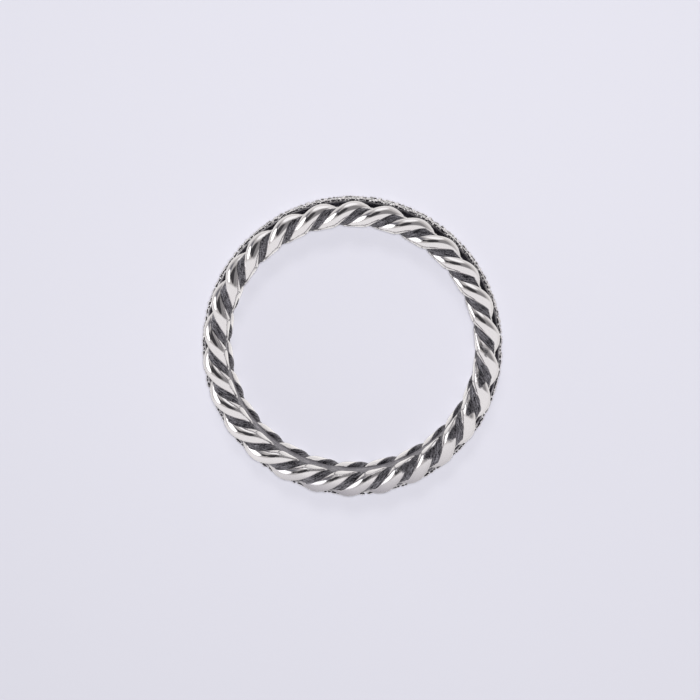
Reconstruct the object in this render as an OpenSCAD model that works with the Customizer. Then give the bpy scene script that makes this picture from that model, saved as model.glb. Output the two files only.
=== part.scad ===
// A silver ring: two rope twist edges soldered to a plain strip set with a full row of small stones.
// The ring lies on one rope, with its axis along +Z and the middle of its footprint at the origin.

/* [Bore] */
// Radius of the bore that the finger goes through
bore_r = 8.65; // [7.5:0.05:11]

/* [Ropes] */
// Radius of a rope over the crests of its two strands
rope_r = 0.99; // [0.85:0.01:1.25]
// Depth of the dark grooves between the strands
groove_depth = 0.37; // [0.2:0.01:0.5]
// Angle of the rope's section that one strand's rounded face takes, out of 180
strand_angle = 124; // [100:2:150]
// Full turns that the strands make on their way round the ring
rope_turns = 13; // [9:1:18]
// Where a strand's crest first faces outward, in degrees clockwise from +Y
twist_start = 2; // [0:0.5:13]
// Depth that polishing the bore has taken off the strands
bore_polish = 0.22; // [0.05:0.01:0.35]
// Distance between the middles of the two ropes
rope_spacing = 3.75; // [3.2:0.05:4.4]
// Depth of the ropes' own bore outside the strip's
rope_bore_relief = 0.01; // [0.01:0.01:0.05]

/* [Strip] */
// Depth that the strip's sides are sunk past the floors of the ropes' grooves
solder_bite = 0.07; // [0.03:0.01:0.15]
// Height of the strip's shoulders, which meet the ropes, above the ropes' middles
shoulder_rise = 0.07; // [0.03:0.01:0.15]
// Height of the strip's rim above the crests of the ropes
rim_rise = 0.04; // [0.02:0.01:0.2]
// Width of metal between a stone and the strip's side
rim_w = 0.36; // [0.3:0.01:0.45]

/* [Stones] */
// Diameter of a stone
stone_d = 1.12; // [1:0.01:1.25]
// Smallest gap between one stone and the next
stone_gap = 0.12; // [0.1:0.01:0.25]
// Width of a stone's table, across its corners
table_d = 0.64; // [0.5:0.01:0.7]
// Height of the crown, from the girdle to the table
crown_h = 0.16; // [0.1:0.01:0.22]
// Thickness of the girdle
girdle_h = 0.03; // [0.02:0.01:0.05]
// Depth of the pavilion, from the girdle to the point
pavilion_h = 0.48; // [0.35:0.01:0.6]
// Depth of the girdle below the rim
stone_sink = 0.15; // [0.1:0.01:0.3]
// Clearance between a stone and its seat
seat_clearance = 0.03; // [0.02:0.01:0.04]
// Diameter of the hole drilled under the stone's point
seat_drill_d = 0.2; // [0.14:0.02:0.3]
// Depth of that hole below the point
seat_drill_depth = 0.1; // [0.05:0.05:0.15]

/* [Claws] */
// Width of the claws raised between the stones, across the strip
claw_w = 0.24; // [0.16:0.01:0.28]
// Height of the claws above the rim
claw_rise = 0.1; // [0.05:0.01:0.14]
// Slope on the claws' sides, measured across the strip
claw_slope = 0.05; // [0.02:0.01:0.07]
// Distance from a stone's widest point in to the claws
claw_inset = 0.14; // [0.1:0.01:0.18]

/* [Hidden] */
$fn = 48;

groove_r = rope_r - groove_depth;
rope_mid_r = bore_r + rope_r - bore_polish;
rope_mid_z = [rope_r, rope_r + rope_spacing];
middle_z = rope_r + rope_spacing / 2;

// The ropes' own bore is a little wider than the strip's, so that the strip's true cylinder is the tightest part.
rope_bore_r = bore_r + rope_bore_relief;

strip_base_w = rope_spacing - 2 * groove_r + 2 * solder_bite;
strip_top_w = stone_d + 2 * rim_w;
shoulder_r = rope_mid_r + shoulder_rise;
rim_r = rope_mid_r + rope_r + rim_rise;

girdle_r = rim_r - stone_sink;
stone_r = stone_d / 2;
stone_count = floor(180 / asin((stone_r + stone_gap / 2) / (girdle_r - girdle_h)));
stone_step = 360 / stone_count;
seat_r = stone_r + seat_clearance;
seat_drill_r = seat_drill_d / 2;
seat_drill_end = pavilion_h + seat_drill_depth;
seat_mouth = stone_sink + girdle_h + 2 * claw_rise;

claw_outer_z = stone_r - claw_inset;
claw_inner_z = claw_outer_z - claw_w;
claw_r = rim_r + claw_rise;

// Section of a rope: each strand has a rounded face, then a point on the groove's floor.
rings_per_turn = 12;
ring_count = rope_turns * rings_per_turn;
face_steps = 3;
strand_half = strand_angle / 2;
section_angles = [
    for (strand = [0, 180])
        each concat([for (k = [-face_steps:face_steps]) strand + k / face_steps * strand_half], strand + 90)
];
section_count = len(section_angles);

function strand_rise(a) =
    let (from_crest = abs((a + 90) % 180 - 90))
    from_crest < strand_half ? cos(from_crest * 90 / strand_half) : 0;

function rope_section_r(a) = groove_r + groove_depth * strand_rise((a + 360) % 180);

// The section turns once for every turn of the strands, so the same point of it follows one strand.
function rope_point(around, a) =
    let (
        turned = a + rope_turns * (around - 90 + twist_start),
        r = max(rope_bore_r, rope_mid_r + rope_section_r(a) * cos(turned))
    )
    [r * cos(around), r * sin(around), rope_section_r(a) * sin(turned)];

rope_points = [
    for (i = [0:ring_count - 1], a = section_angles)
        rope_point(90 - twist_start + i * 360 / ring_count, a)
];

rope_faces = [
    for (i = [0:ring_count - 1], j = [0:section_count - 1])
        let (
            next_i = (i + 1) % ring_count,
            next_j = (j + 1) % section_count,
            near = i * section_count + j,
            near_up = i * section_count + next_j,
            far = next_i * section_count + j,
            far_up = next_i * section_count + next_j
        )
        each [[near, near_up, far], [near_up, far_up, far]]
];

module rope(z) {
    translate([0, 0, z])
        polyhedron(points = rope_points, faces = rope_faces, convexity = 8);
}

// Places its children at each stone, with +X pointing outward.
module around_ring() {
    for (k = [0:stone_count - 1])
        rotate([0, 0, 90 + k * stone_step])
            translate([0, 0, middle_z])
                children();
}

module seat_cut() {
    cone_depth = seat_clearance + pavilion_h * (seat_r - seat_drill_r) / stone_r;
    translate([girdle_r - girdle_h, 0, 0])
        rotate([0, 90, 0])
            rotate_extrude()
                polygon([
                    [0, -seat_drill_end],
                    [seat_drill_r, -seat_drill_end],
                    [seat_drill_r, -cone_depth],
                    [seat_r, -seat_clearance],
                    [seat_r, seat_mouth],
                    [0, seat_mouth]
                ]);
}

// Half of the strip's section, from its middle out to one side. The ridge on it becomes that side's claws.
half_section = [
    [rim_r, claw_inner_z],
    [claw_r, claw_inner_z + claw_slope],
    [claw_r, claw_outer_z - claw_slope],
    [rim_r, claw_outer_z],
    [rim_r, strip_top_w / 2],
    [shoulder_r, strip_top_w / 2],
    [shoulder_r, strip_base_w / 2],
    [bore_r, strip_base_w / 2]
];
half_count = len(half_section);
mirrored_half = [for (k = [half_count - 1:-1:0]) [half_section[k].x, -half_section[k].y]];

module strip() {
    difference() {
        translate([0, 0, middle_z])
            rotate_extrude()
                polygon(concat(half_section, mirrored_half));
        around_ring()
            seat_cut();
    }
}

module band() {
    color("silver") {
        for (z = rope_mid_z)
            rope(z);
        strip();
    }
}

// A cut stone, pointing along +X, with its girdle's lower edge at the origin.
module stone() {
    corners = 16;
    corner_step = 360 / corners;
    table_corners = corners / 2;
    table = [
        for (k = [0:table_corners - 1])
            [girdle_h + crown_h, table_d / 2 * cos(2 * k * corner_step), table_d / 2 * sin(2 * k * corner_step)]
    ];
    girdle = [
        for (x = [girdle_h, 0], k = [0:corners - 1])
            [x, stone_r * cos(k * corner_step), stone_r * sin(k * corner_step)]
    ];
    top = table_corners;
    bottom = top + corners;
    point = bottom + corners;
    crown_faces = [
        for (k = [0:table_corners - 1])
            let (
                next_k = (k + 1) % table_corners,
                left = top + 2 * k,
                mid = left + 1,
                right = top + (2 * k + 2) % corners
            )
            each [[k, mid, left], [k, next_k, mid], [next_k, right, mid]]
    ];
    girdle_faces = [
        for (k = [0:corners - 1])
            let (next_k = (k + 1) % corners)
            [top + k, top + next_k, bottom + next_k, bottom + k]
    ];
    pavilion_faces = [
        for (k = [0:corners - 1])
            [bottom + k, bottom + (k + 1) % corners, point]
    ];
    table_face = [[for (k = [table_corners - 1:-1:0]) k]];
    polyhedron(
        points = concat(table, girdle, [[-pavilion_h, 0, 0]]),
        faces = concat(table_face, crown_faces, girdle_faces, pavilion_faces),
        convexity = 2
    );
}

module pave_stones() {
    color("azure")
        around_ring()
            translate([girdle_r - girdle_h, 0, 0])
                stone();
}

band();
pave_stones();
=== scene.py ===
import math

import bmesh
import bpy
import numpy as np
from mathutils import Matrix, Vector


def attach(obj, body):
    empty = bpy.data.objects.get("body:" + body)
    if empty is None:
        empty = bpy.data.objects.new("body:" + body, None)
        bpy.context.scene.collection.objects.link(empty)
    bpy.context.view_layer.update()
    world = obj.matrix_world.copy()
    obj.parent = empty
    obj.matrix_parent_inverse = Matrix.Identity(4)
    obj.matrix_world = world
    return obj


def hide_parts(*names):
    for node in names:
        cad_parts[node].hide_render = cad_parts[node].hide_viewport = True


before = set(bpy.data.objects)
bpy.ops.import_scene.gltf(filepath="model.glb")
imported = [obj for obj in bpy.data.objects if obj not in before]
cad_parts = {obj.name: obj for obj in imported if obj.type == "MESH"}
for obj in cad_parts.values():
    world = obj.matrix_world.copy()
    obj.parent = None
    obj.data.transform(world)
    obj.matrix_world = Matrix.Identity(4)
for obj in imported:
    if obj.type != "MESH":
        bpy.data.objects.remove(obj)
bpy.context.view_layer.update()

# Sizes are in millimetres, as in the part's source, and become metres where Blender gets them.
MM = 0.001

# The ropes. The ring lies on its side, so the rear rope is the lower one and the front rope the upper one.
BORE_R = 8.65
ROPE_R = 0.99
GROOVE_DEPTH = 0.37
GROOVE_R = ROPE_R - GROOVE_DEPTH
ROPE_TURNS = 13
ROPE_SPACING = 3.75
BORE_POLISH = 0.22
ROPE_MID_R = BORE_R + ROPE_R - BORE_POLISH
REAR_Z = ROPE_R
FRONT_Z = ROPE_R + ROPE_SPACING
MIDDLE_Z = ROPE_R + ROPE_SPACING / 2
RINGS_PER_STRAND = 26

# A strand's face, in degrees from its crest to the groove, and how full its curve is.
STRAND_HALF = 62.0
STRAND_FULLNESS = 0.82

# The polished bore of a rope is slightly crowned, and blends into the strands.
FLAT_HALF = 0.62
BORE_CROWN = 0.1
BORE_BLEND = 0.12

# The twist was laid by hand, so the strands run a little ahead on one side of the ring and behind on the
# other.
TWIST_START = math.radians(2)
TWIST_EARLY = math.radians(0.46)
REAR_TWIST_EARLY = math.radians(1.5)
TWIST_SWAY = math.radians(0.38)
TWIST_SWAY_AT = math.radians(357)

# Section angles of half a strand, in degrees from its crest, closer together at the groove's edge.
FACE_ANGLES = (*np.linspace(0, 52, 13), 55, 57.5, 59.5, 61, 62, 63.2)
FLOOR_ANGLES = np.arange(65, 90, 2.5)

# Fine ridges on a groove's floor.
RIDGE_H = 0.011
RIDGE_WAVES = 24

# The slight waves of a cast and polished strand, round the ring and round its section.
FINISH_H = 0.0035
FINISH_WAVES = 14
WAVES_ROUND_RING = (5, 44)
WAVES_ROUND_SECTION = (0, 4)
WAVES_HALVED_AT = 22

# Noise coordinates of the fine lines: their radius round the ring, and their growth across it for each
# radian of a rope's section or for each millimetre.
STREAK_SPREAD = 9
STREAK_PER_RADIAN = 2.4
STREAK_PER_MM = 6
BEAD_STREAK_SPREAD = 40

# How the ropes are polished and where they get painted shade. A pair that smoothstep reads, here and below,
# says where something is nought and where it is full. The groove's edge and the flank with painted shade are
# in degrees from the crest, and the dark crease line's width is in millimetres. The bore, the wall and the
# rubbed line are shares of the section's radius, towards the bore, the strip and the outside.
GROOVE_EDGE = (STRAND_HALF - 9, STRAND_HALF + 1)
SHADED_FLANK_EDGE = (-20, -32)
CREASE_W = 0.028
CREASE_DARKNESS = 0.85
TO_BORE = (-0.1, 0.5)
WALL_REACH = 0.78
WALL_FADE = 0.22
RUBBED_BRIGHT = (0.97, 0.86)

# A dark patch on the strands of the lower right. Its ends are in degrees round the ring, clockwise from
# +Y as seen from above. Its edges lie at shares of the section's radius towards the bore. They drift with
# each degree round the ring, and slant with each degree of the section. The patch fades out past the crest,
# in degrees of the section, and towards the rope's lower side, in millimetres.
PATCH_START = (80, 98)
PATCH_END = (172, 148)
PATCH_FROM = 92
RAGGED_EDGE = -0.08
RAGGED_DRIFT = 0.0068
RAGGED_FADE = 0.22
CLEAN_EDGE = 0.19
CLEAN_DRIFT = 0.0055
CLEAN_FADE = 0.07
PATCH_SLANT = 0.006
PATCH_PAST_CREST = (18, 6)
PATCH_UPPER_SIDE = (-0.1, 0.15)

# A stretch of painted shade, a darker painted reflection, on the strands at the ring's -Y side, and how it
# grows towards the outside.
PAINTED_SHADE_START = (112, 172)
PAINTED_SHADE_END = (225, 190)
PAINTED_SHADE_OUTSIDE = (-0.25, 0.15)
PAINTED_SHADE_LEAST = 0.3
PAINTED_SHADE_GROWTH = 0.5

# The strip of stones between the ropes.
RIM_R = 10.45
PLATE_R = 10.38
SHOULDER_R = 9.49
STRIP_RECESS = 0.24
STRIP_INNER_R = BORE_R + STRIP_RECESS
STRIP_BASE_HALF = 1.325
STRIP_TOP_HALF = 0.92
PLATE_HALF = 0.8
PLATE_OXIDE = 0.45
INNER_FACE = (BORE_R + 0.5, BORE_R + 0.2)
WALL_Z = STRIP_TOP_HALF - 0.04
DULL_WALL = (PLATE_R - 0.06, PLATE_R - 0.16)

# The stones and their seats.
STONE_COUNT = 52
STONE_STEP = 2 * math.pi / STONE_COUNT
STONE_R = 0.56
STONE_SINK = 0.15
GIRDLE_H = 0.03
GIRDLE_R = RIM_R - STONE_SINK
GIRDLE_X = GIRDLE_R - GIRDLE_H
CROWN_H = 0.16
PAVILION_H = 0.48
TABLE_R = 0.32
SEAT_R = 0.59
SEAT_LIP_R = SEAT_R + 0.03
CELL_HALF = STONE_STEP / 2 * RIM_R

# A brilliant's proportions. The star points are part of the way from the table to the girdle, and the main
# points part of the way down the pavilion. Each stone is rolled by one of a few angles.
STAR_REACH = 0.47
STAR_RISE = 0.62
MAIN_REACH = 0.26
MAIN_DEPTH = 0.76
ROLL_STEP = 0.19
ROLL_STRIDE = 7
ROLL_COUNT = 11

# Points round a quarter of a seat: from its side to its cell's corner, and from there to its end.
TO_CORNER = 9
PAST_CORNER = 6

# Rings of a seat's cell on the plate, as shares of the way from the seat's lip to the cell's edge. The plate
# rises to the rim over the last shares.
CELL_SHARES = (1, 0.66, 0.34, 0.2, 0.1, 0)
RISE_SHARES = (0.34, 0.05)
CLEAN_SHARE = 0.2

# Rings of a seat's hole: radius, distance from the ring's axis, oxide.
SEAT_PROFILE = (
    (SEAT_R + 0.01, RIM_R - 0.02, 0.1),
    (SEAT_R, RIM_R - 0.05, 0.2),
    (SEAT_R, GIRDLE_X - 0.02, 0.7),
    (SEAT_R - 0.02, GIRDLE_X - 0.04, 0.8),
    (0.1, GIRDLE_X - 0.46, 1),
)

# The strip's upper half, from the plate's edge to its inner face: radius, height from the middle, oxide.
STRIP_PROFILE = (
    (PLATE_R, PLATE_HALF, 0.45),
    (PLATE_R, PLATE_HALF + 0.05, 0.6),
    (PLATE_R - 0.01, STRIP_TOP_HALF - 0.03, 0.6),
    (PLATE_R - 0.04, STRIP_TOP_HALF, 0.5),
    (PLATE_R - 0.12, STRIP_TOP_HALF, 0.6),
    (PLATE_R - 0.2, STRIP_TOP_HALF, 0.9),
    (SHOULDER_R + 0.05, STRIP_TOP_HALF, 1),
    (SHOULDER_R, STRIP_TOP_HALF + 0.03, 1),
    (SHOULDER_R, STRIP_BASE_HALF, 1),
    (STRIP_INNER_R + 0.12, STRIP_BASE_HALF, 1),
    (STRIP_INNER_R + 0.02, STRIP_BASE_HALF - 0.1, 0.8),
    (STRIP_INNER_R, STRIP_BASE_HALF - 0.2, 0.55),
    (STRIP_INNER_R, 0.5, 0.47),
)
STRIP_RINGS = STONE_COUNT * 8

# The milgrain line along each edge of the plate. Each bead has its own radius, is shifted by a share of its
# step, and is lifted or sunk a little.
MILGRAIN_PER_STONE = 5
MILGRAIN_COUNT = STONE_COUNT * MILGRAIN_PER_STONE
MILGRAIN_Z = 0.845
MILGRAIN_SINK = 0.02
MILGRAIN_STRETCH = 1.15
MILGRAIN_R = (0.066, 0.112)
MILGRAIN_SHIFT = 0.3
MILGRAIN_LIFT = 0.1
SIZE_SEED = 5
SHIFT_SEED = 6

# The claws between the stones.
CLAW_R = 0.145
CLAW_Z = 0.34
CLAW_SINK = 0.045
CLAW_STRETCH = 0.95

# A bead is a dome past its half, with a dark skirt.
BEAD_REACH = math.radians(118)
SKIRT_OXIDE = 0.9
SKIRT_FADE = 0.3


# Meshes

UP = np.array([0, 0, 1])


def make_piece(name, verts_mm, faces, material, smooth=True, floats=None, vectors=None):
    """An object from points in millimetres, with values for each point that its material reads."""
    mesh = bpy.data.meshes.new(name)
    mesh.from_pydata((np.asarray(verts_mm, float) * MM).tolist(), [], faces)
    mesh.update()
    for key, values in (floats or {}).items():
        layer = mesh.attributes.new(key, "FLOAT", "POINT")
        layer.data.foreach_set("value", np.asarray(values, np.float32))
    for key, values in (vectors or {}).items():
        layer = mesh.attributes.new(key, "FLOAT_VECTOR", "POINT")
        layer.data.foreach_set("vector", np.asarray(values, np.float32).ravel())
    mesh.polygons.foreach_set("use_smooth", [smooth] * len(mesh.polygons))
    mesh.materials.append(material)
    piece = bpy.data.objects.new(name, mesh)
    bpy.context.scene.collection.objects.link(piece)
    return piece


def grid_faces(rows, cols):
    """The faces of a grid that closes on itself both ways."""
    faces = []
    for i in range(rows):
        i2 = (i + 1) % rows
        for j in range(cols):
            j2 = (j + 1) % cols
            faces.append((i * cols + j, i2 * cols + j, i2 * cols + j2, i * cols + j2))
    return faces


def smoothstep(lo, hi, x):
    """From 0 at lo to 1 at hi. Either may be the greater."""
    t = np.clip((x - lo) / (hi - lo), 0, 1)
    return t * t * (3 - 2 * t)


def blended_min(a, b, width):
    """The smaller of two lengths, with the corner between them rounded over a width."""
    share = np.clip(0.5 + 0.5 * (b - a) / width, 0, 1)
    return b * (1 - share) + a * share - width * share * (1 - share)


def streak_coords(around, spread, across):
    """Noise coordinates for the fine lines, which run round the ring."""
    stacked = np.broadcast_arrays(spread * np.cos(around), spread * np.sin(around), across)
    return np.stack(stacked, -1).reshape(-1, 3)


def directions(clockwise):
    """Outwards and along the rim, at an angle in radians clockwise from +Y as seen from above."""
    out = np.array([math.sin(clockwise), math.cos(clockwise), 0])
    side = np.array([math.cos(clockwise), -math.sin(clockwise), 0])
    return out, side


def section_angles():
    """The angles round a rope's section, in radians from the first strand's crest."""
    half = np.concatenate([FACE_ANGLES, FLOOR_ANGLES])
    strand = np.concatenate([-half[:0:-1], half, [90]])
    return np.radians(np.concatenate([strand, strand + 180]))


def from_crest(a):
    """Degrees from the nearest crest, from -90 to 90."""
    return (np.degrees(a) + 90) % 180 - 90


def strand_rise(a):
    """A strand's height over the groove's floor, from 0 to 1."""
    t = np.clip(np.abs(from_crest(a)) / STRAND_HALF, 0, 1)
    return np.cos(t * math.pi / 2) ** STRAND_FULLNESS


def floor_ridges(a):
    """Fine ridges that run along the floor of a groove, in millimetres."""
    off_crest = np.abs(from_crest(a))
    on_floor = smoothstep(STRAND_HALF, STRAND_HALF + 5, off_crest)
    return RIDGE_H * np.cos(np.radians(off_crest - 90) * RIDGE_WAVES) * on_floor


def hand_finish(around, a, seed):
    """The slight unevenness of a cast and polished strand, in millimetres."""
    rng = np.random.default_rng(seed)
    out = np.zeros(np.broadcast(around, a).shape)
    for _ in range(FINISH_WAVES):
        n = rng.integers(*WAVES_ROUND_RING)
        m = rng.integers(*WAVES_ROUND_SECTION)
        height = rng.uniform(0.4, 1) / (1 + n / WAVES_HALVED_AT)
        out += height * np.cos(n * around + m * a + rng.uniform(0, 2 * math.pi))
    return FINISH_H * out


def rope_oxide_and_shade(a, turned, across, off_flat, outer_side, reach_inside, far_flank_shade):
    """How much oxide is left, with painted shade on the rear strands' far flanks and a dark crease line,
    from 0 to 1. The outer side is 1 on the front rope and -1 on the rear one.
    """
    inside = smoothstep(*TO_BORE, -np.cos(turned))
    # No polishing tool reaches the sides that face the strip, least of all inside the bore.
    reach = WALL_REACH - reach_inside * inside
    unpolished = smoothstep(reach, reach + WALL_FADE, -outer_side * np.sin(turned))
    oxide_and_shade = np.maximum(smoothstep(*GROOVE_EDGE, np.abs(from_crest(a))), unpolished)
    # A dark line is drawn where a strand's face turns into its flat, and painted shade darkens the rear
    # strands' far flanks.
    crease = np.exp(-(off_flat / CREASE_W) ** 2) * (across * outer_side > 0)
    # Painted shade on one flank of each rear strand inside the bore.
    flank_shade = smoothstep(*SHADED_FLANK_EDGE, from_crest(a)) * inside * far_flank_shade
    oxide_and_shade = np.maximum(oxide_and_shade, np.maximum(CREASE_DARKNESS * crease, flank_shade))
    # The outermost line of a groove is rubbed bright.
    return oxide_and_shade * smoothstep(*RUBBED_BRIGHT, np.cos(turned))


def dark_patch(a, turned, across, place):
    """A dark patch on part of the strands, between a ragged edge and a clean one."""
    inwards = -np.cos(turned)
    ragged_edge = RAGGED_EDGE + RAGGED_DRIFT * (place - PATCH_FROM) + PATCH_SLANT * from_crest(a)
    clean_edge = CLEAN_EDGE + CLEAN_DRIFT * (place - PATCH_FROM) - PATCH_SLANT * from_crest(a)
    patch = smoothstep(ragged_edge - RAGGED_FADE, ragged_edge + RAGGED_FADE, inwards)
    patch = patch * smoothstep(clean_edge + CLEAN_FADE, clean_edge - CLEAN_FADE, inwards)
    patch = patch * smoothstep(*PATCH_PAST_CREST, from_crest(a)) * smoothstep(*PATCH_UPPER_SIDE, across)
    return patch * smoothstep(*PATCH_START, place) * smoothstep(*PATCH_END, place)


def painted_shade_outside(turned, place):
    """Where the strands get painted shade, a darker painted reflection, more so towards the outside."""
    outwards = np.cos(turned)
    painted_shade = smoothstep(*PAINTED_SHADE_START, place) * smoothstep(*PAINTED_SHADE_END, place)
    return painted_shade * smoothstep(*PAINTED_SHADE_OUTSIDE, outwards) * (PAINTED_SHADE_LEAST + PAINTED_SHADE_GROWTH * np.clip(outwards, 0, 1))


def rope(name, mid_z, material, seed, early, reach_inside, far_flank_shade, patch_and_painted_shade):
    """A rope of two strands, as a tube of twisted sections round the ring."""
    around = np.linspace(0, 2 * math.pi, ROPE_TURNS * 2 * RINGS_PER_STRAND, endpoint=False)[:, None]
    clockwise = math.pi / 2 - around
    a = section_angles()[None, :]
    laid = clockwise + early + TWIST_SWAY * np.cos(clockwise - TWIST_SWAY_AT) - TWIST_START
    turned = a - ROPE_TURNS * laid
    section_r = GROOVE_R + GROOVE_DEPTH * strand_rise(a) + floor_ridges(a) + hand_finish(around, a, seed)
    across = section_r * np.sin(turned)
    inward = -section_r * np.cos(turned)
    bore_limit = ROPE_MID_R - BORE_R - BORE_CROWN * (across / FLAT_HALF) ** 2
    r = ROPE_MID_R - blended_min(inward, bore_limit, BORE_BLEND)
    verts = np.stack([r * np.cos(around), r * np.sin(around), mid_z + across], -1)
    rows, cols = verts.shape[:2]
    outer_side = 1 if mid_z > MIDDLE_Z else -1
    place = np.degrees(clockwise) % 360
    oxide_and_shade = rope_oxide_and_shade(a, turned, across, inward - bore_limit, outer_side, reach_inside, far_flank_shade)
    oxide_and_shade = np.maximum(oxide_and_shade, dark_patch(a, turned, across, place) * patch_and_painted_shade)
    # Painted shade, a darker painted reflection, on the front strands at the ring's -Y side.
    painted_shade = painted_shade_outside(turned, place) * patch_and_painted_shade
    return make_piece(
        name, verts.reshape(-1, 3), grid_faces(rows, cols), material,
        floats={
            "oxide_and_shade": oxide_and_shade.ravel(),
            "tarnish_and_painted_shade": (painted_shade * (1 - oxide_and_shade)).ravel(),
            "scratch": smoothstep(*TO_BORE, -np.cos(turned)).ravel(),
        },
        vectors={"streak": streak_coords(around, STREAK_SPREAD, a * STREAK_PER_RADIAN)},
    )


def on_cylinder(r, u, z):
    """A point at radius r, u millimetres round the rim from +Y, clockwise as seen from above."""
    out, _ = directions(u / RIM_R)
    return out * r + UP * z


def seat_outline():
    """Directions of the points round a seat, with one at each corner of its cell."""
    corner = math.atan2(PLATE_HALF, CELL_HALF)
    past_corner = np.linspace(corner, math.pi / 2, PAST_CORNER)
    quarter = np.concatenate([np.linspace(0, corner, TO_CORNER), past_corner[1:]])
    half = np.concatenate([quarter, math.pi - quarter[-2::-1]])
    return np.concatenate([half, half[1:-1] + math.pi])


def seat_rings(k, outline):
    """The rings of one seat's cell, from the cell's edge to the hole's bottom, each with its oxide."""
    out, side = directions(k * STONE_STEP)
    rings = []
    for share in CELL_SHARES:
        top = PLATE_R + (RIM_R - PLATE_R) * smoothstep(*RISE_SHARES, share)
        ring = []
        for psi in outline:
            c, s = math.cos(psi), math.sin(psi)
            reach = min(CELL_HALF / max(abs(c), 1e-9), PLATE_HALF / max(abs(s), 1e-9))
            rho = SEAT_LIP_R + (reach - SEAT_LIP_R) * share
            ring.append(on_cylinder(top, 2 * k * CELL_HALF + rho * c, MIDDLE_Z + rho * s))
        rings.append((ring, PLATE_OXIDE if share > CLEAN_SHARE else 0))
    for rho, x, dark in SEAT_PROFILE:
        ring = [out * x + side * (rho * math.cos(p)) + UP * (MIDDLE_Z + rho * math.sin(p)) for p in outline]
        rings.append((ring, dark))
    return rings


def strip(name, material):
    """The strip between the ropes: a plate with a seat for each stone, its walls and its sunk inner face."""
    verts, faces, oxide_and_shade = [], [], []
    outline = seat_outline()
    count = len(outline)
    for k in range(STONE_COUNT):
        first = len(verts)
        rings = seat_rings(k, outline)
        for ring, dark in rings:
            verts.extend(ring)
            oxide_and_shade.extend([dark] * count)
        for i in range(len(rings) - 1):
            near, far = first + i * count, first + (i + 1) * count
            for j in range(count):
                j2 = (j + 1) % count
                faces.append((far + j, far + j2, near + j2, near + j))
        last = first + (len(rings) - 1) * count
        faces.append(tuple(last + j for j in reversed(range(count))))

    profile = list(STRIP_PROFILE) + [(r, -z, dark) for r, z, dark in reversed(STRIP_PROFILE)]
    first, cols = len(verts), len(profile)
    for i in range(STRIP_RINGS):
        angle = 2 * math.pi * i / STRIP_RINGS
        for r, z, dark in profile:
            verts.append((r * math.cos(angle), r * math.sin(angle), MIDDLE_Z + z))
            oxide_and_shade.append(dark)
        i2 = (i + 1) % STRIP_RINGS
        for j in range(cols - 1):
            near, far = first + i * cols + j, first + i2 * cols + j
            faces.append((far, far + 1, near + 1, near))

    v = np.array(verts)
    r = np.hypot(v[:, 0], v[:, 1])
    inside = smoothstep(*INNER_FACE, r)
    # The walls are dull, apart from their edge at the plate.
    wall = (np.abs(v[:, 2] - MIDDLE_Z) > WALL_Z) & (inside == 0)
    wall = wall * smoothstep(*DULL_WALL, r)
    around = np.arctan2(v[:, 1], v[:, 0])
    across = (v[:, 2] + r) * STREAK_PER_MM
    return make_piece(
        name, v, faces, material,
        floats={"oxide_and_shade": oxide_and_shade, "tarnish_and_painted_shade": np.maximum(inside, wall), "scratch": inside},
        vectors={"streak": streak_coords(around, STREAK_SPREAD, across)},
    )


def beads(name, places, material, rows, cols, clean):
    """Small domed beads. Each place is (angle clockwise from +Y, r, z, radius, stretch round the ring)."""
    verts, faces, oxide_and_shade = [], [], []
    for clockwise, r, z, radius, stretch in places:
        out, side = directions(clockwise)
        centre = out * r + UP * z
        first = len(verts)
        verts.append(centre + out * radius)
        oxide_and_shade.append(0)
        for i in range(1, rows + 1):
            polar = BEAD_REACH * i / rows
            skirt = SKIRT_OXIDE * min(1, max(0, (i / rows - clean) / SKIRT_FADE))
            level = centre + out * radius * math.cos(polar)
            for j in range(cols):
                psi = 2 * math.pi * j / cols
                round_it = side * math.cos(psi) * stretch + UP * math.sin(psi)
                verts.append(level + radius * math.sin(polar) * round_it)
                oxide_and_shade.append(skirt)
        for j in range(cols):
            faces.append((first, first + 1 + (j + 1) % cols, first + 1 + j))
        for i in range(rows - 1):
            row = first + 1 + i * cols
            for j in range(cols):
                a, b = row + j, row + (j + 1) % cols
                faces.append((a, b, b + cols, a + cols))
    v = np.array(verts)
    around = np.arctan2(v[:, 1], v[:, 0])
    return make_piece(
        name, v, faces, material,
        floats={"oxide_and_shade": oxide_and_shade, "tarnish_and_painted_shade": oxide_and_shade, "scratch": np.zeros(len(v))},
        vectors={"streak": streak_coords(around, BEAD_STREAK_SPREAD, v[:, 2] * STREAK_PER_MM)},
    )


def milgrain_places():
    """A place for each bead of the two lines, as beads reads them."""
    both_edges = (MILGRAIN_COUNT, 2)
    sizes = np.random.default_rng(SIZE_SEED).uniform(*MILGRAIN_R, both_edges)
    shifts = np.random.default_rng(SHIFT_SEED).uniform(-MILGRAIN_SHIFT, MILGRAIN_SHIFT, both_edges)
    return [
        (
            (n + 0.5 + shifts[n, edge]) * STONE_STEP / MILGRAIN_PER_STONE,
            RIM_R - MILGRAIN_SINK + MILGRAIN_LIFT * shifts[n, 1 - edge],
            MIDDLE_Z + z,
            sizes[n, edge],
            MILGRAIN_STRETCH,
        )
        for n in range(MILGRAIN_COUNT)
        for edge, z in enumerate((-MILGRAIN_Z, MILGRAIN_Z))
    ]


def claw_places():
    """A pair of claws between each two stones, as beads reads them."""
    return [
        ((n + 0.5) * STONE_STEP, RIM_R - CLAW_SINK, MIDDLE_Z + z, CLAW_R, CLAW_STRETCH)
        for n in range(STONE_COUNT)
        for z in (-CLAW_Z, CLAW_Z)
    ]


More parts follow.
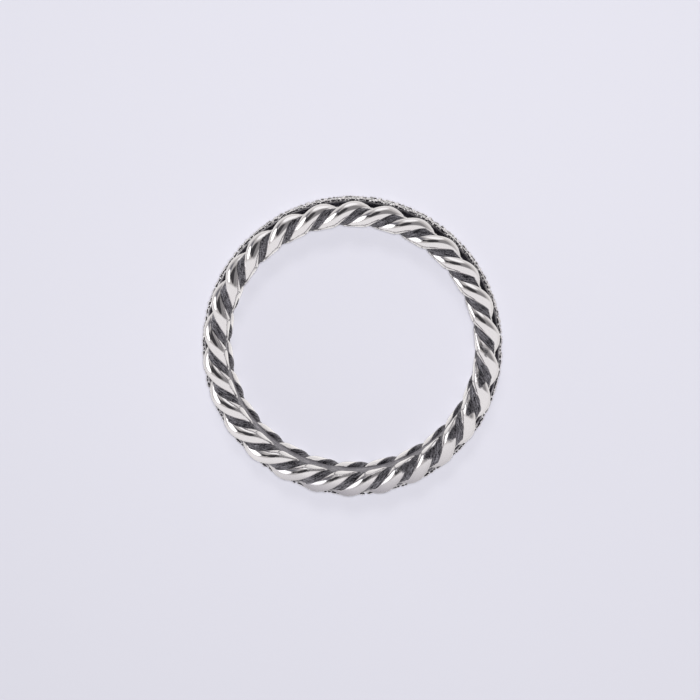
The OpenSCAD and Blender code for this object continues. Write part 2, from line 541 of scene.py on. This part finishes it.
def brilliant_faces(first):
    """The facets of one stone whose points start at first: table, star, kite, girdle and pavilion."""
    table, star, upper, lower, main, culet = (first + n for n in (0, 8, 16, 32, 48, 56))
    faces = [tuple(table + j for j in range(8))]
    for j in range(8):
        after, before = (j + 1) % 8, (j - 1) % 8
        here, middle, there = 2 * j, 2 * j + 1, (2 * j + 2) % 16
        faces.append((table + j, star + j, table + after))
        faces.append((table + j, star + before, upper + here, star + j))
        faces.append((star + j, upper + here, upper + middle))
        faces.append((star + j, upper + middle, upper + there))
        faces.append((lower + here, main + j, lower + middle))
        faces.append((lower + middle, main + j, lower + there))
        faces.append((lower + here, main + before, culet, main + j))
    for j in range(16):
        after = (j + 1) % 16
        faces.append((upper + j, lower + j, lower + after, upper + after))
    return faces


def stones(name, material):
    """A round brilliant for each seat, each turned a little differently from its neighbours."""
    # Distance from the ring's axis, radius, number of points, and the first point in sixteenths of a turn.
    levels = (
        (GIRDLE_R + CROWN_H, TABLE_R, 8, 0),
        (GIRDLE_R + CROWN_H * STAR_RISE, TABLE_R + STAR_REACH * (STONE_R - TABLE_R), 8, 1),
        (GIRDLE_R, STONE_R, 16, 0),
        (GIRDLE_X, STONE_R, 16, 0),
        (GIRDLE_X - PAVILION_H * MAIN_DEPTH, STONE_R * MAIN_REACH, 8, 1),
        (GIRDLE_X - PAVILION_H, 0, 1, 0),
    )
    verts, faces = [], []
    for k in range(STONE_COUNT):
        out, side = directions(k * STONE_STEP)
        roll = ROLL_STEP * (k * ROLL_STRIDE % ROLL_COUNT)
        faces.extend(brilliant_faces(len(verts)))
        for x, rho, count, start in levels:
            for j in range(count):
                turn = (j * 16 // count + start) * math.pi / 8 + roll
                height = MIDDLE_Z + rho * math.sin(turn)
                verts.append(out * x + side * (rho * math.cos(turn)) + UP * height)
    piece = make_piece(name, verts, faces, material, smooth=False)
    face_outward(piece)
    return piece


def face_outward(piece):
    """Turns the faces of a closed mesh outwards."""
    bm = bmesh.new()
    bm.from_mesh(piece.data)
    bmesh.ops.recalc_face_normals(bm, faces=bm.faces)
    bm.to_mesh(piece.data)
    bm.free()


# Nodes

def feed(tree, socket, value):
    """Links an output to a socket, or sets the socket to a number, a vector or a colour without alpha."""
    if isinstance(value, bpy.types.NodeSocket):
        tree.links.new(value, socket)
    elif socket.type == "RGBA":
        socket.default_value = (*value, 1)
    else:
        socket.default_value = value


def add_node(tree, kind, settings=None, **inputs):
    """A node with its settings, and each input fed by its name."""
    node = tree.nodes.new(kind)
    for key, value in (settings or {}).items():
        setattr(node, key, value)
    for key, value in inputs.items():
        feed(tree, node.inputs[key.replace("_", " ")], value)
    return node


def attribute(tree, name, output="Fac"):
    return add_node(tree, "ShaderNodeAttribute", {"attribute_name": name}).outputs[output]


def noise(tree, vector, scale, detail, roughness):
    inputs = {"Vector": vector, "Scale": scale, "Detail": detail, "Roughness": roughness}
    return add_node(tree, "ShaderNodeTexNoise", **inputs).outputs["Fac"]


def maths(tree, operation, *values):
    node = add_node(tree, "ShaderNodeMath", {"operation": operation})
    for socket, value in zip(node.inputs, values):
        feed(tree, socket, value)
    return node.outputs[0]


def dot(tree, a, b):
    node = add_node(tree, "ShaderNodeVectorMath", {"operation": "DOT_PRODUCT"})
    feed(tree, node.inputs[0], a)
    feed(tree, node.inputs[1], b)
    return node.outputs["Value"]


def map_range(tree, value, source=(0, 1), target=(0, 1), kind="LINEAR"):
    node = add_node(
        tree, "ShaderNodeMapRange", {"interpolation_type": kind},
        Value=value, From_Min=source[0], From_Max=source[1], To_Min=target[0], To_Max=target[1],
    )
    return node.outputs[0]


def mix(tree, factor, a, b, kind="RGBA", blend="MIX"):
    settings = {"data_type": kind, "blend_type": blend}
    return add_node(tree, "ShaderNodeMix", settings, Factor=factor, A=a, B=b).outputs["Result"]


def ramp(tree, factor, low, high):
    """Colours between two stops, each (position, colour)."""
    node = add_node(tree, "ShaderNodeValToRGB", Fac=factor)
    for element, (position, colour) in zip(node.color_ramp.elements, (low, high)):
        element.position = position
        element.color = (*colour, 1)
    return node.outputs["Color"]


def bump(tree, height, distance, strength, normal=None):
    node = add_node(tree, "ShaderNodeBump", Height=height, Distance=distance, Strength=strength)
    if normal is not None:
        feed(tree, node.inputs["Normal"], normal)
    return node.outputs["Normal"]


# Materials

# The oxide colours also paint shade on the rear strands' far flanks, and the tarnish tint also paints shade
# on the front strands at the ring's -Y side.
OXIDE_AND_SHADE_DARK = (0.02, 0.019, 0.024)
OXIDE_AND_SHADE_PALE = (0.38, 0.37, 0.41)
SILVER_DIM = (0.892, 0.866, 0.88)
SILVER_BRIGHT = (0.958, 0.932, 0.947)
TARNISH_AND_SHADE_TINT = (0.36, 0.35, 0.4)
STONE_TINT = (0.93, 0.95, 0.98)
STONE_CLEAR = (1, 1, 1)

# How far the noise of the lines moves the edge of the oxide and of the painted shade, and the values between
# which they set in.
RAGGEDNESS = 1.3
OXIDE_AND_SHADE_SETS_IN = (0.3, 0.7)

# Roughness from polish to full oxide, and what the lines and the tarnish with its painted shade add to it.
ROUGHNESS = (0.07, 0.42)
LINE_ROUGHNESS = 0.06
TARNISH_AND_SHADE_ROUGHNESS = 0.24

# Depths of the bumps, and how strong the brushing is outside and inside the bore.
GRAIN_BUMP = 0.03
BRUSH_BUMP = 0.01
BRUSH_STRENGTH = (0.2, 0.9)


def node_material(name):
    material = bpy.data.materials.new(name)
    material.use_nodes = True
    tree = material.node_tree
    shader = tree.nodes["Principled BSDF"]
    return material, tree, shader


def silver():
    """Polished silver that turns to a grainy dark oxide where the points' oxide values say, which also paint
    shade on some strands, and is darkened further by tarnish and by painted shade.
    """
    material, tree, shader = node_material("silver_oxide_and_painted_shade")
    tarnish_and_painted_shade = attribute(tree, "tarnish_and_painted_shade")
    place = tree.nodes.new("ShaderNodeTexCoord").outputs["Object"]
    grain = noise(tree, place, scale=11000, detail=4, roughness=0.6)
    lines = noise(tree, attribute(tree, "streak", "Vector"), scale=2.6, detail=5, roughness=0.65)

    # The edge of the oxide and of the painted shade is ragged, as oxide is where polishing has worn it off.
    ragged = maths(tree, "MULTIPLY_ADD", lines, RAGGEDNESS, -RAGGEDNESS / 2)
    edge = maths(tree, "ADD", attribute(tree, "oxide_and_shade"), ragged)
    amount = map_range(tree, edge, source=OXIDE_AND_SHADE_SETS_IN, kind="SMOOTHSTEP")

    dark_tone = mix(tree, 0.4, lines, grain, kind="FLOAT")
    dark = ramp(tree, dark_tone, (0.42, OXIDE_AND_SHADE_DARK), (0.6, OXIDE_AND_SHADE_PALE))
    bright = ramp(tree, grain, (0.3, SILVER_DIM), (0.7, SILVER_BRIGHT))
    colour = mix(tree, amount, bright, dark)
    # Tarnish and painted shade darken the colour here.
    colour = mix(tree, tarnish_and_painted_shade, colour, TARNISH_AND_SHADE_TINT, blend="MULTIPLY")
    feed(tree, shader.inputs["Base Color"], colour)

    rough = map_range(tree, amount, target=ROUGHNESS)
    rough = maths(tree, "MULTIPLY_ADD", lines, LINE_ROUGHNESS, rough)
    rough = maths(tree, "MULTIPLY_ADD", tarnish_and_painted_shade, TARNISH_AND_SHADE_ROUGHNESS, rough)
    feed(tree, shader.inputs["Roughness"], rough)

    # Grain stands up in the oxide and the painted shade, and the bore is brushed.
    grainy = bump(tree, maths(tree, "MULTIPLY", grain, amount), distance=GRAIN_BUMP * MM, strength=0.5)
    brush_strength = map_range(tree, attribute(tree, "scratch"), target=BRUSH_STRENGTH)
    brushed = bump(tree, lines, distance=BRUSH_BUMP * MM, strength=brush_strength, normal=grainy)
    feed(tree, shader.inputs["Normal"], brushed)
    shader.inputs["Metallic"].default_value = 1
    return material


def clear_stone():
    """A clear stone with a faint cool tint."""
    material, tree, shader = node_material("clear_cut_stone")
    place = tree.nodes.new("ShaderNodeTexCoord").outputs["Object"]
    cloud = noise(tree, place, scale=900, detail=3, roughness=0.5)
    feed(tree, shader.inputs["Base Color"], ramp(tree, cloud, (0, STONE_TINT), (1, STONE_CLEAR)))
    shader.inputs["Roughness"].default_value = 0.01
    shader.inputs["IOR"].default_value = 2.15
    shader.inputs["Transmission Weight"].default_value = 1
    return material


# Pieces

metal = silver()
# The front rope gets the dark patch and the painted shade on its strands at the ring's -Y side.
front_rope = rope(
    "front_rope", FRONT_Z, metal,
    seed=3, early=TWIST_EARLY, reach_inside=0.78, far_flank_shade=0, patch_and_painted_shade=1,
)
# The rear rope's strands get painted shade on their far flanks inside the bore.
rear_rope = rope(
    "rear_rope", REAR_Z, metal,
    seed=8, early=REAR_TWIST_EARLY, reach_inside=0.1, far_flank_shade=1, patch_and_painted_shade=0,
)
stone_strip = strip("stone_strip", metal)
milgrain = beads("milgrain_edges", milgrain_places(), metal, rows=6, cols=10, clean=0.4)
claws = beads("claw_beads", claw_places(), metal, rows=7, cols=16, clean=0.5)
brilliants = stones("brilliant_stones", clear_stone())
for piece in (front_rope, rear_rope, stone_strip, milgrain, claws, brilliants):
    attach(piece, "root")
for piece in (front_rope, rear_rope, stone_strip, milgrain, claws):
    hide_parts("band")
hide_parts("pave_stones")


# Floor, light and camera, in metres

FILL_H = 0.236
FLOOR_HALF = 1.5
FLOOR_COLOUR = (0.55, 0.545, 0.605)

# The floor starts to glow where the fill lamp gives less than this share of its light. The glow is full
# where the lamp gives none.
GLOW_STARTS = 0.95
FULL_GLOW = 0.66
GLOW_COLOUR = (1, 0.99, 1.1)

# The surroundings, as the metal reflects them, as they light the floor and as the camera sees them.
STUDIO_BASE = (0.49, 0.475, 0.467)
STUDIO_DIFFUSE = (0.15, 0.15, 0.15)
BACKDROP = (0.79, 0.782, 0.868)

# Soft-edged patches in what the metal reflects, each laid over those before it: direction, degrees from it
# to which the patch is full, degrees from it at which the patch is gone, colour.
STUDIO_PATCHES = (
    ((0.76, 0.25, 0.6), 22, 40, (0.235, 0.229, 0.232)),
    ((-0.55, 0.79, 0.26), 8, 22, (0.16, 0.16, 0.18)),
    ((0.12, 0.47, 0.87), 22, 31, (0.044, 0.043, 0.046)),
    ((0.26, 0.96, 0.02), 18, 30, (1.0, 1.0, 1.0)),
    ((-0.49, 0.49, 0.72), 12, 17, (0.04, 0.04, 0.042)),
    ((-0.85, 0.36, 0.39), 21, 26, (1.7, 1.7, 1.7)),
    ((0, -1, 0), 78, 90, (0.82, 0.81, 0.81)),
    ((0, 0, -1), 62, 84, (0.75, 0.738, 0.73)),
    ((0, 0, -1), 12, 42, (0.95, 0.935, 0.915)),
)

# The camera looks down on the lying ring at the photo's angle to it. The ring lies a little off the middle
# of the picture.
PX_PER_MM = 14.29
RING_OFF_RIGHT_PX = 1.25
RING_OFF_UP_PX = 0.5
VIEW = Vector((0.043, 0.1409, 0.9891)).normalized()
DISTANCE = 0.234
FOCAL_MM = 172.2
SENSOR_MM = 36


def lay_floor():
    """A pale floor. It glows as much as the lamps fade, so that it looks even in low views too."""
    s = FLOOR_HALF
    mesh = bpy.data.meshes.new("floor")
    mesh.from_pydata([(-s, -s, 0), (s, -s, 0), (s, s, 0), (-s, s, 0)], [], [(0, 1, 2, 3)])
    floor = bpy.data.objects.new("floor", mesh)
    bpy.context.scene.collection.objects.link(floor)
    material, tree, shader = node_material("pale_floor")
    place = tree.nodes.new("ShaderNodeNewGeometry").outputs["Position"]
    lamp_distance_squared = maths(tree, "ADD", dot(tree, place, place), FILL_H ** 2)
    lit = maths(tree, "POWER", maths(tree, "DIVIDE", FILL_H ** 2, lamp_distance_squared), 2)
    glow = map_range(tree, lit, source=(GLOW_STARTS, 0), target=(0, FULL_GLOW))
    feed(tree, shader.inputs["Emission Strength"], glow)
    feed(tree, shader.inputs["Emission Color"], GLOW_COLOUR)
    feed(tree, shader.inputs["Base Color"], FLOOR_COLOUR)
    shader.inputs["Roughness"].default_value = 0.8
    shader.inputs["Specular IOR Level"].default_value = 0.1
    mesh.materials.append(material)
    floor.visible_glossy = False


def light_studio():
    """The surroundings for the metal, an even light for the floor, and a plain backdrop for the camera."""
    world = bpy.data.worlds.new("studio")
    bpy.context.scene.world = world
    world.use_nodes = True
    tree = world.node_tree
    looking = tree.nodes.new("ShaderNodeTexCoord").outputs["Generated"]
    rays = tree.nodes.new("ShaderNodeLightPath")
    colour = STUDIO_BASE
    for direction, full, gone, patch in STUDIO_PATCHES:
        limits = (math.cos(math.radians(gone)), math.cos(math.radians(full)))
        towards = dot(tree, looking, Vector(direction).normalized())
        colour = mix(tree, map_range(tree, towards, source=limits, kind="SMOOTHSTEP"), colour, patch)
    colour = mix(tree, rays.outputs["Is Diffuse Ray"], colour, STUDIO_DIFFUSE)
    colour = mix(tree, rays.outputs["Is Camera Ray"], colour, BACKDROP)
    feed(tree, tree.nodes["Background"].inputs["Color"], colour)


def area_light(name, place, target, size, power, colour):
    data = bpy.data.lights.new(name, "AREA")
    data.shape = "SQUARE"
    data.size = size
    data.energy = power
    data.color = colour
    lamp = bpy.data.objects.new(name, data)
    lamp.location = place
    lamp.rotation_mode = "QUATERNION"
    lamp.rotation_quaternion = (Vector(target) - Vector(place)).to_track_quat("-Z", "Y")
    lamp.visible_glossy = False
    bpy.context.scene.collection.objects.link(lamp)


def add_camera():
    data = bpy.data.cameras.new("camera")
    data.lens = FOCAL_MM
    data.sensor_width = SENSOR_MM
    data.clip_start = 0.01
    data.clip_end = 10
    camera = bpy.data.objects.new("camera", data)
    right = Vector((0, 1, 0)).cross(VIEW).normalized()
    up = VIEW.cross(right).normalized()
    turn = Matrix((right, up, VIEW)).transposed()
    off_middle = (right * RING_OFF_RIGHT_PX + up * RING_OFF_UP_PX) / PX_PER_MM * MM
    aim = Vector((0, 0, FRONT_Z * MM)) - off_middle
    camera.matrix_world = Matrix.Translation(aim + VIEW * DISTANCE) @ turn.to_4x4()
    bpy.context.scene.collection.objects.link(camera)
    bpy.context.scene.camera = camera


lay_floor()
light_studio()
area_light("fill", (0.0105, 0.0327, FILL_H), (0, 0, 0), size=0.012, power=0.627, colour=(1, 1, 1))
area_light("key", (0, 0.15, 0.36), (0, -0.01, 0), size=0.06, power=0.22, colour=(1, 0.99, 0.97))
add_camera()
bpy.context.scene.view_settings.view_transform = "Standard"
